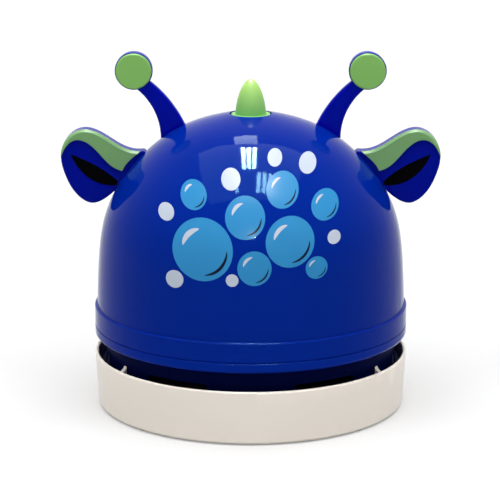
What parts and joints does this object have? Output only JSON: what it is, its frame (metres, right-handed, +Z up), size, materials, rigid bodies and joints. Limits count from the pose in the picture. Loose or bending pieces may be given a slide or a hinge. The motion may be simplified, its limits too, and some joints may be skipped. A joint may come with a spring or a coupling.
{
  "type": "desktop mini vacuum cleaner",
  "caption": "Battery desktop vacuum: domed blue head with ears, antennae and a press horn, lifting off a pale round brush base.",
  "frame": {"origin": "on the desk under the centre of the round base, the middle of the bounding box's bottom face", "axes": "+Z up along the fan and button axis, -Y towards the front, +X to the right of the front view"},
  "size_m": [0.1082, 0.09, 0.1009],
  "materials": {
    "blue_shell": "moulded gloss blue",
    "cream_ring": "moulded off-white, satin gloss",
    "navy_inner": "moulded dark navy",
    "green_trim": "moulded light green",
    "black_plastic": "moulded black",
    "white_plastic": "moulded white",
    "foot_rubber": "soft rubber",
    "seal_rubber": "foam rubber",
    "bristle": "nylon filament",
    "filter_felt": "non-woven felt",
    "screw_steel": "plated steel",
    "motor_steel": "plated deep-drawn steel",
    "ferrite": "sintered ferrite",
    "copper": "enamelled copper",
    "contact_metal": "plated spring brass",
    "cell_jacket": "plain printed jacket",
    "board_laminate": "coated laminate",
    "lead_red": "insulated lead",
    "lead_black": "insulated lead"
  },
  "bodies": {
    "base": {"base_ring": "cream_ring", "dust_cup": "navy_inner", "base_screws": "screw_steel", "glide_feet": "foot_rubber", "brush_carrier": "black_plastic", "bristle_tufts": "bristle"},
    "head": {"seal_ring": "seal_rubber", "fan_housing": "navy_inner", "filter_frame": "black_plastic", "filter_pad": "filter_felt", "fan_inlet_plate": "black_plastic", "inlet_plate_screws": "screw_steel", "fan_housing_screws": "screw_steel", "lower_housing": "blue_shell", "upper_housing": "blue_shell", "housing_screws": "screw_steel", "motor_can": "motor_steel", "motor_end_cap": "white_plastic", "motor_bushings": "contact_metal", "motor_magnets": "ferrite", "motor_brushes": "copper", "motor_terminals": "contact_metal", "motor_bracket": "black_plastic", "bracket_screws": "screw_steel", "battery_tray": "black_plastic", "tray_screws": "screw_steel", "battery_lower": "cell_jacket", "battery_upper": "cell_jacket", "contact_plates": "contact_metal", "contact_leaves": "contact_metal", "switch_body": "black_plastic", "switch_board": "board_laminate", "board_screws": "screw_steel", "left_antenna": "blue_shell", "right_antenna": "blue_shell", "left_antenna_cap": "green_trim", "right_antenna_cap": "green_trim", "left_ear": "blue_shell", "right_ear": "blue_shell", "left_ear_inlay": "green_trim", "right_ear_inlay": "green_trim", "lead_battery_motor": "lead_black", "lead_switch_motor": "lead_red", "lead_battery_switch": "lead_red"},
    "rotor": {"motor_shaft": "screw_steel", "armature_core": "motor_steel", "armature_windings": "copper", "commutator": "copper", "impeller": "white_plastic"},
    "button": {"horn_button": "green_trim", "switch_plunger": "white_plastic"},
    "door": {"battery_door": "blue_shell", "door_screw": "screw_steel"}
  },
  "joints": [
    {"name": "head_lift", "type": "slide", "parent": "base", "child": "head", "axis": [0, 0, 1], "range_m": [0, 0.03]},
    {"name": "rotor_spin", "type": "hinge", "parent": "head", "child": "rotor", "pos_m": [0, 0, 0.0205], "axis": [0, 0, 1], "continuous": true},
    {"name": "horn_press", "type": "slide", "parent": "head", "child": "button", "axis": [0, 0, -1], "range_m": [0, 0.0022], "stiffness_N_per_m": 1000},
    {"name": "door_slide", "type": "slide", "parent": "head", "child": "door", "axis": [0, 1, 0], "range_m": [0, 0.012]}
  ]
}
